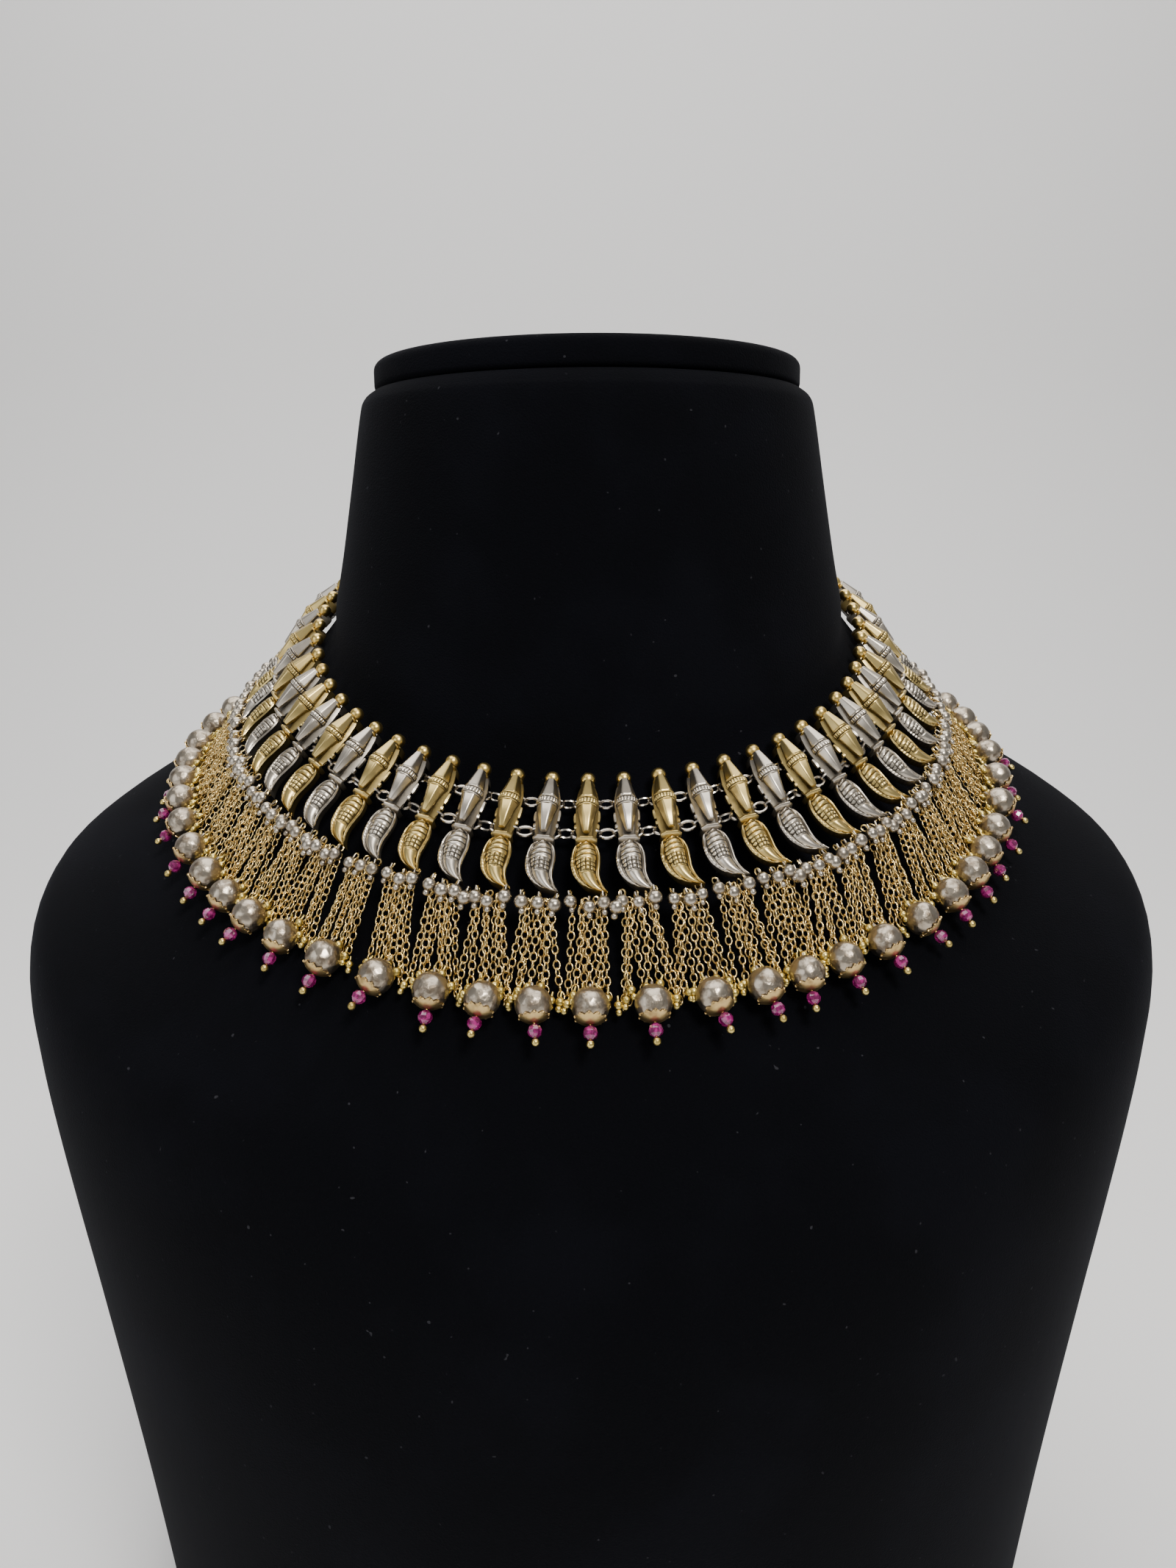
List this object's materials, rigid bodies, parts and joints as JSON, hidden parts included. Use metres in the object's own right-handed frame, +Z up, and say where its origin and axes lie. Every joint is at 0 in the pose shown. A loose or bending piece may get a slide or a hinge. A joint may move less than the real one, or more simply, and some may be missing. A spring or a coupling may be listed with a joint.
{
  "type": "bib necklace on a neck bust",
  "caption": "Bib necklace of soldered bead-and-paisley bars in gold and silver, with a chain fringe of silver balls and ruby-coloured drops, on a black velvet neck bust.",
  "frame": {"origin": "on the surface that the bust stands on, under the axis of the neck", "axes": "+Z up, -Y towards the front of the bust, +X to the right of somebody who looks at the front"},
  "size_m": [0.265, 0.187, 0.3185],
  "materials": {
    "velvet": "black velvet with a faint cool sheen",
    "gold_plate": "antique gold plating, darker in the recesses",
    "silver_plate": "warm polished silver, darker in the recesses",
    "silver_link": "plain silver wire, satin",
    "gold_chain": "bright gold-plated wire",
    "seed_gold": "small drops in a paler, greenish gold",
    "aged_silver": "lightly hammered silver with a warm patina",
    "ruby_stone": "faceted translucent magenta stone"
  },
  "bodies": {
    "root": {"bust_body": "velvet", "bust_cap": "velvet", "motif_01": "silver_plate", "motif_02": "gold_plate", "motif_03": "silver_plate", "motif_04": "gold_plate", "motif_05": "silver_plate", "motif_06": "gold_plate", "motif_07": "silver_plate", "motif_08": "gold_plate", "motif_09": "silver_plate", "motif_10": "gold_plate", "motif_11": "silver_plate", "motif_12": "gold_plate", "motif_13": "silver_plate", "motif_14": "gold_plate", "motif_15": "silver_plate", "motif_16": "gold_plate", "motif_17": "silver_plate", "motif_18": "gold_plate", "motif_19": "silver_plate", "motif_20": "gold_plate", "motif_21": "silver_plate", "motif_22": "gold_plate", "motif_23": "silver_plate", "motif_24": "gold_plate", "motif_25": "silver_plate", "motif_26": "gold_plate", "motif_27": "silver_plate", "motif_28": "gold_plate", "motif_29": "silver_plate", "motif_30": "gold_plate", "motif_31": "silver_plate", "motif_32": "gold_plate", "motif_33": "silver_plate", "motif_34": "gold_plate", "motif_35": "silver_plate", "upper_link_row": "silver_link", "lower_link_row": "silver_link", "end_bar_left": "gold_plate", "end_bar_right": "gold_plate", "back_chain_left": "gold_chain", "back_chain_right": "gold_chain", "clasp": "gold_plate", "fringe_1": "gold_chain", "fringe_2": "gold_chain", "fringe_3": "gold_chain", "fringe_4": "gold_chain", "fringe_5": "gold_chain", "fringe_6": "gold_chain", "fringe_7": "gold_chain"}
  },
  "joints": []
}
